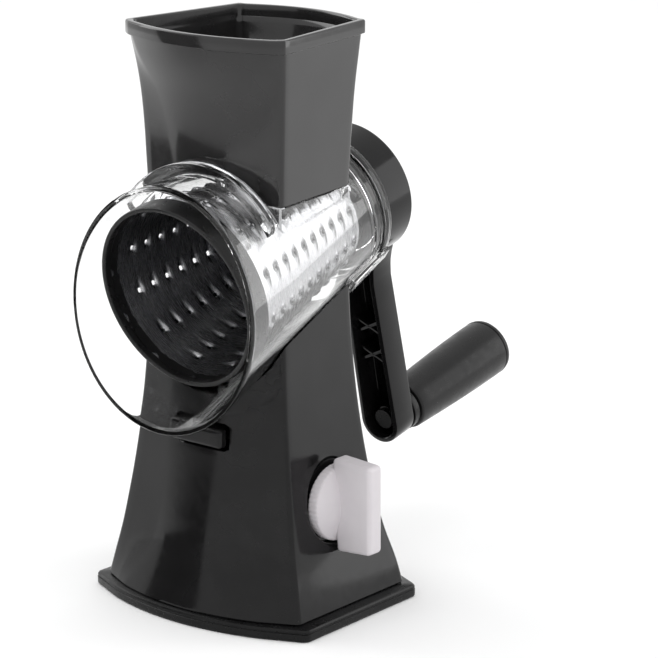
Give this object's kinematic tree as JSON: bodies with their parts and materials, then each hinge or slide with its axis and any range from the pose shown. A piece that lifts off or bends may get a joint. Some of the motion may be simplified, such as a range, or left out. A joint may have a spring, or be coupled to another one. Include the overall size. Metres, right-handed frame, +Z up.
{
  "type": "rotary cheese grater",
  "caption": "Hand-cranked rotary grater: waisted tower on a suction foot, clear conical barrel with a steel grating drum, flared feed hopper and rear crank.",
  "frame": {"origin": "centre of the suction foot's underside, on the table", "axes": "+Z up; -Y is the front, where the barrel's mouth is; +X is the side with the suction knob; +Y is the crank side"},
  "size_m": [0.1364, 0.2485, 0.27],
  "materials": {
    "black_gloss": "glossy black moulding",
    "black_satin": "satin black moulding",
    "foot_black": "black foot rim",
    "clear": "clear moulded plastic",
    "steel": "bright stainless steel",
    "bright_metal": "plated steel",
    "knob_grey": "light grey moulding",
    "nylon": "natural nylon",
    "soft_rubber": "soft black rubber"
  },
  "bodies": {
    "stand": {"base_plate": "foot_black", "suction_pad": "soft_rubber", "base_screws": "bright_metal", "base_shell": "black_gloss", "latch_pin": "bright_metal", "cam_bracket": "black_satin", "bracket_screws": "bright_metal", "shaft_bush": "nylon", "barrel_housing": "clear", "hopper": "black_gloss", "barrel_bush": "nylon", "return_spring": "bright_metal"},
    "latch": {"release_latch": "black_gloss"},
    "knob": {"suction_knob": "knob_grey", "cam_shaft": "nylon", "shaft_clip": "bright_metal", "suction_cam": "nylon"},
    "stud": {"pull_stud": "nylon", "cam_follower": "bright_metal"},
    "crank": {"drive_spindle": "bright_metal", "crank_cup": "black_gloss", "crank_arm": "black_gloss", "spindle_screw": "bright_metal", "hub_cap": "black_satin", "grip_pin": "bright_metal", "grip_collar": "black_satin"},
    "grip": {"grip_sleeve": "black_gloss", "grip_cap": "black_gloss"},
    "drum": {"drum_cone": "steel", "drum_front_ring": "black_satin", "drum_hub": "black_satin"}
  },
  "joints": [
    {"name": "crank_spin", "type": "hinge", "parent": "stand", "child": "crank", "pos_m": [0, 0, 0.1644], "axis": [0, 0.9744, 0.225], "continuous": true},
    {"name": "grip_spin", "type": "hinge", "parent": "crank", "child": "grip", "pos_m": [0, 0.11015, 0.06513], "axis": [0, 0.9744, 0.225], "continuous": true},
    {"name": "drum_pull", "type": "slide", "parent": "crank", "child": "drum", "axis": [0, -0.9744, -0.225], "range_m": [0, 0.13]},
    {"name": "knob_turn", "type": "hinge", "parent": "stand", "child": "knob", "pos_m": [0, 0, 0.0535], "axis": [1, 0, 0], "range_deg": [0, 90]},
    {"name": "stud_lift", "type": "slide", "parent": "stand", "child": "stud", "axis": [0, 0, 1], "range_m": [0, 0.00405], "deforming": ["return_spring"]},
    {"name": "latch_press", "type": "hinge", "parent": "stand", "child": "latch", "pos_m": [0, -0.0235, 0.083], "axis": [1, 0, 0], "range_deg": [0, 7], "stiffness_Nm_per_rad": 0.7, "springref_deg": -2.29}
  ],
  "couplings": [
    {"joint": "stud_lift", "follows": "knob_turn", "m_per_rad": 0.0025465}
  ]
}
